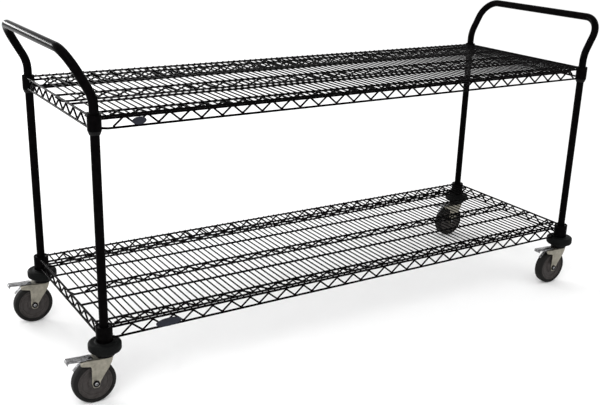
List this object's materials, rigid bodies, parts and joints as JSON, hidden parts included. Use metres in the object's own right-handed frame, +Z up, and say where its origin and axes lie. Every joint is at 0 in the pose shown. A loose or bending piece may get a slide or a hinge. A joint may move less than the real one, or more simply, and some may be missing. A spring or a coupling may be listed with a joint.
{
  "type": "wire shelf cart",
  "caption": "Long low push cart with two open wire shelves between U-shaped tube handles, on swivel casters with foot brakes and round bumpers.",
  "frame": {"origin": "on the floor, under the middle of the whole cart as it stands with its casters trailing to the left; the middle of the four posts is 17.5 mm to the right of it", "axes": "+X to the right along the cart's length, +Y to the back, +Z up"},
  "size_m": [2.0014, 0.6826, 1.002],
  "materials": {
    "black_epoxy": "black epoxy powder coat on steel wire and tube, soft semi-gloss",
    "black_plastic": "black moulded plastic",
    "bumper_rubber": "matt black bumper rubber",
    "tread": "matt dark resilient tread",
    "wheel_core": "warm dark grey moulded core",
    "zinc": "pressed steel with dull yellowish zinc plating",
    "bright_zinc": "bright zinc plated steel",
    "nameplate": "blank dark blue-grey plate"
  },
  "bodies": {
    "frame": {"handle_left": "black_epoxy", "handle_right": "black_epoxy", "bottom_shelf": "black_epoxy", "top_shelf": "black_epoxy", "bottom_nameplate": "nameplate", "top_nameplate": "nameplate", "top_sleeve_front_left_inner": "black_plastic", "top_sleeve_front_left_outer": "black_plastic", "top_sleeve_front_right_inner": "black_plastic", "top_sleeve_front_right_outer": "black_plastic", "top_sleeve_back_left_inner": "black_plastic", "top_sleeve_back_left_outer": "black_plastic", "top_sleeve_back_right_inner": "black_plastic", "top_sleeve_back_right_outer": "black_plastic", "bottom_sleeve_front_left_inner": "black_plastic", "bottom_sleeve_front_left_outer": "black_plastic", "bottom_sleeve_front_right_inner": "black_plastic", "bottom_sleeve_front_right_outer": "black_plastic", "bottom_sleeve_back_left_inner": "black_plastic", "bottom_sleeve_back_left_outer": "black_plastic", "bottom_sleeve_back_right_inner": "black_plastic", "bottom_sleeve_back_right_outer": "black_plastic", "front_left_bumper": "bumper_rubber", "front_left_caster_stem": "black_plastic", "front_right_bumper": "bumper_rubber", "front_right_caster_stem": "black_plastic", "back_left_bumper": "bumper_rubber", "back_left_caster_stem": "black_plastic", "back_right_bumper": "bumper_rubber", "back_right_caster_stem": "black_plastic"},
    "front_left_swivel": {"front_left_swivel_race": "black_plastic", "front_left_caster_fork": "zinc", "front_left_axle_bolt": "bright_zinc", "front_left_axle_nut": "bright_zinc"},
    "front_left_wheel": {"front_left_tyre": "tread", "front_left_wheel_core": "wheel_core"},
    "front_left_pedal": {"front_left_brake_pedal": "bright_zinc"},
    "front_right_swivel": {"front_right_swivel_race": "black_plastic", "front_right_caster_fork": "zinc", "front_right_axle_bolt": "bright_zinc", "front_right_axle_nut": "bright_zinc"},
    "front_right_wheel": {"front_right_tyre": "tread", "front_right_wheel_core": "wheel_core"},
    "front_right_pedal": {"front_right_brake_pedal": "bright_zinc"},
    "back_left_swivel": {"back_left_swivel_race": "black_plastic", "back_left_caster_fork": "zinc", "back_left_axle_bolt": "bright_zinc", "back_left_axle_nut": "bright_zinc"},
    "back_left_wheel": {"back_left_tyre": "tread", "back_left_wheel_core": "wheel_core"},
    "back_left_pedal": {"back_left_brake_pedal": "bright_zinc"},
    "back_right_swivel": {"back_right_swivel_race": "black_plastic", "back_right_caster_fork": "zinc", "back_right_axle_bolt": "bright_zinc", "back_right_axle_nut": "bright_zinc"},
    "back_right_wheel": {"back_right_tyre": "tread", "back_right_wheel_core": "wheel_core"},
    "back_right_pedal": {"back_right_brake_pedal": "bright_zinc"}
  },
  "joints": [
    {"name": "front_left_caster_swivel", "type": "hinge", "parent": "frame", "child": "front_left_swivel", "pos_m": [-0.8863, -0.2943, 0.1441], "axis": [0, 0, 1], "continuous": true},
    {"name": "front_left_wheel_spin", "type": "hinge", "parent": "front_left_swivel", "child": "front_left_wheel", "pos_m": [-0.9233, -0.2943, 0.0635], "axis": [0, 1, 0], "continuous": true},
    {"name": "front_left_brake", "type": "hinge", "parent": "front_left_swivel", "child": "front_left_pedal", "pos_m": [-0.9553, -0.2943, 0.1325], "axis": [0, -1, 0], "range_deg": [0, 12]},
    {"name": "front_right_caster_swivel", "type": "hinge", "parent": "frame", "child": "front_right_swivel", "pos_m": [0.9213, -0.2943, 0.1441], "axis": [0, 0, 1], "continuous": true},
    {"name": "front_right_wheel_spin", "type": "hinge", "parent": "front_right_swivel", "child": "front_right_wheel", "pos_m": [0.8843, -0.2943, 0.0635], "axis": [0, 1, 0], "continuous": true},
    {"name": "front_right_brake", "type": "hinge", "parent": "front_right_swivel", "child": "front_right_pedal", "pos_m": [0.8523, -0.2943, 0.1325], "axis": [0, -1, 0], "range_deg": [0, 12]},
    {"name": "back_left_caster_swivel", "type": "hinge", "parent": "frame", "child": "back_left_swivel", "pos_m": [-0.8863, 0.2943, 0.1441], "axis": [0, 0, 1], "continuous": true},
    {"name": "back_left_wheel_spin", "type": "hinge", "parent": "back_left_swivel", "child": "back_left_wheel", "pos_m": [-0.9233, 0.2943, 0.0635], "axis": [0, 1, 0], "continuous": true},
    {"name": "back_left_brake", "type": "hinge", "parent": "back_left_swivel", "child": "back_left_pedal", "pos_m": [-0.9553, 0.2943, 0.1325], "axis": [0, -1, 0], "range_deg": [0, 12]},
    {"name": "back_right_caster_swivel", "type": "hinge", "parent": "frame", "child": "back_right_swivel", "pos_m": [0.9213, 0.2943, 0.1441], "axis": [0, 0, 1], "continuous": true},
    {"name": "back_right_wheel_spin", "type": "hinge", "parent": "back_right_swivel", "child": "back_right_wheel", "pos_m": [0.8843, 0.2943, 0.0635], "axis": [0, 1, 0], "continuous": true},
    {"name": "back_right_brake", "type": "hinge", "parent": "back_right_swivel", "child": "back_right_pedal", "pos_m": [0.8523, 0.2943, 0.1325], "axis": [0, -1, 0], "range_deg": [0, 12]}
  ]
}
